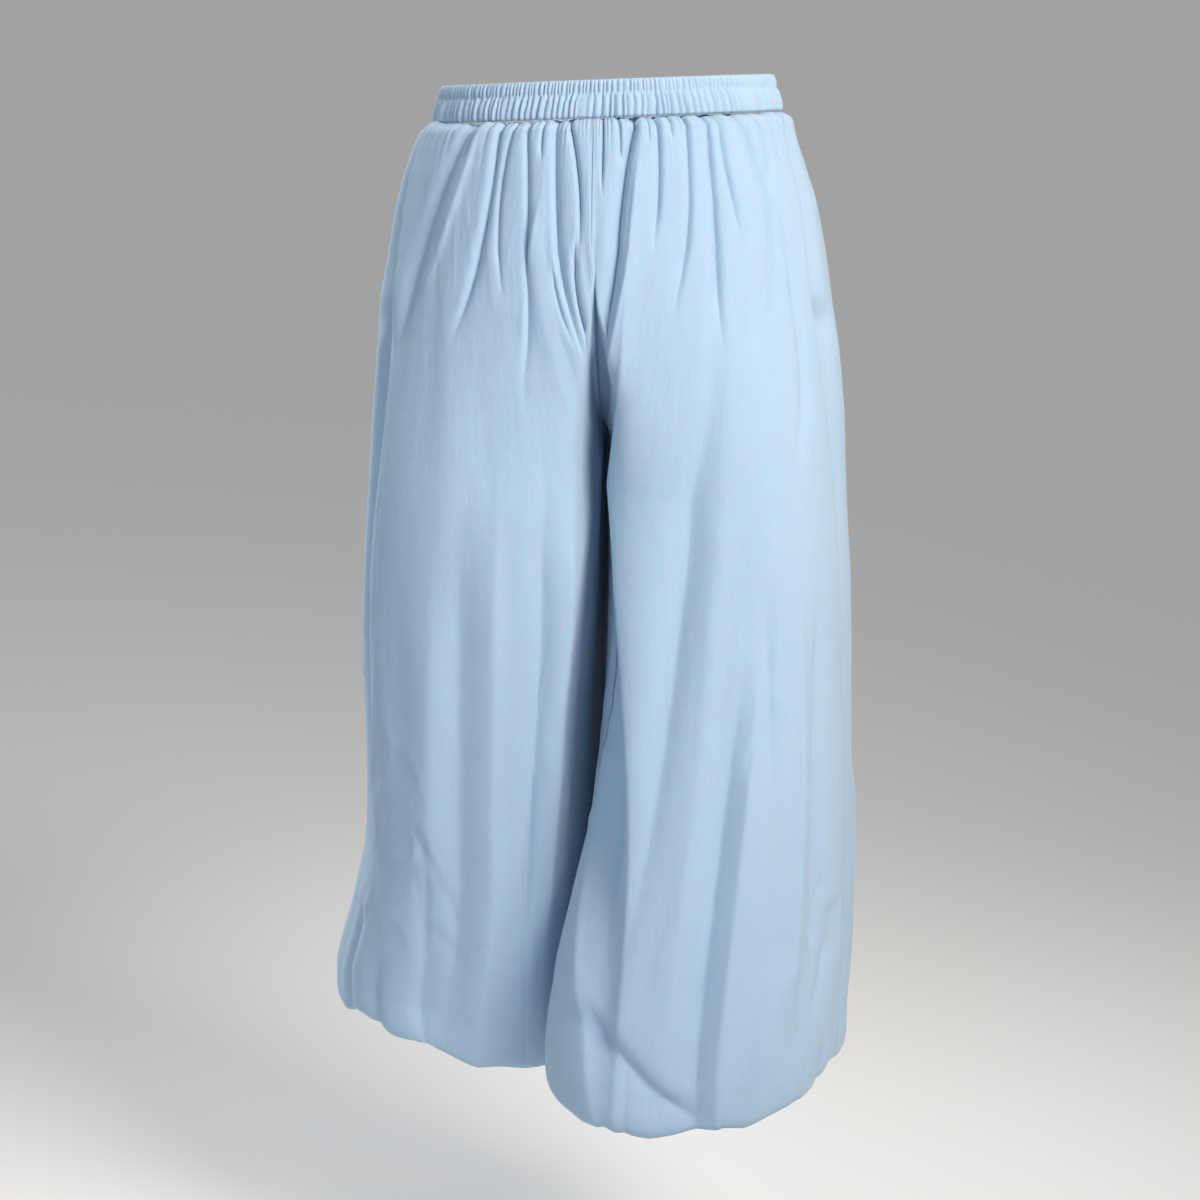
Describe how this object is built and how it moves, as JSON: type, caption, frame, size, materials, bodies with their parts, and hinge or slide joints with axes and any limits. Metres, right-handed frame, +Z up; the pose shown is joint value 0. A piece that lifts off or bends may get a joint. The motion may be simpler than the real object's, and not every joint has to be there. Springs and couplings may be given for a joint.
{
  "type": "wide-leg trousers",
  "caption": "Pull-on wide-leg trousers in light-blue cotton poplin with a ribbed elastic waistband, side-seam pockets and a bubble hem, filled out as when worn.",
  "frame": {"origin": "middle of the waistband, level with its mid height, where the wearer's waist holds the trousers", "axes": "+Z up through the waist, -Y towards the front, +X towards the wearer's left leg"},
  "size_m": [0.4606, 0.4127, 0.8521],
  "materials": {
    "poplin": "matt light-blue cotton poplin with a fine plain weave, softly creased",
    "waistband_poplin": "the same poplin, gathered into fine upright ribs over elastic",
    "pocket_poplin": "the same poplin inside the garment"
  },
  "bodies": {
    "root": {"waistband": "waistband_poplin", "back_left": "poplin", "back_right": "poplin", "front_left": "poplin", "front_right": "poplin", "pocket_bag_left": "pocket_poplin", "pocket_bag_right": "pocket_poplin"}
  },
  "joints": []
}
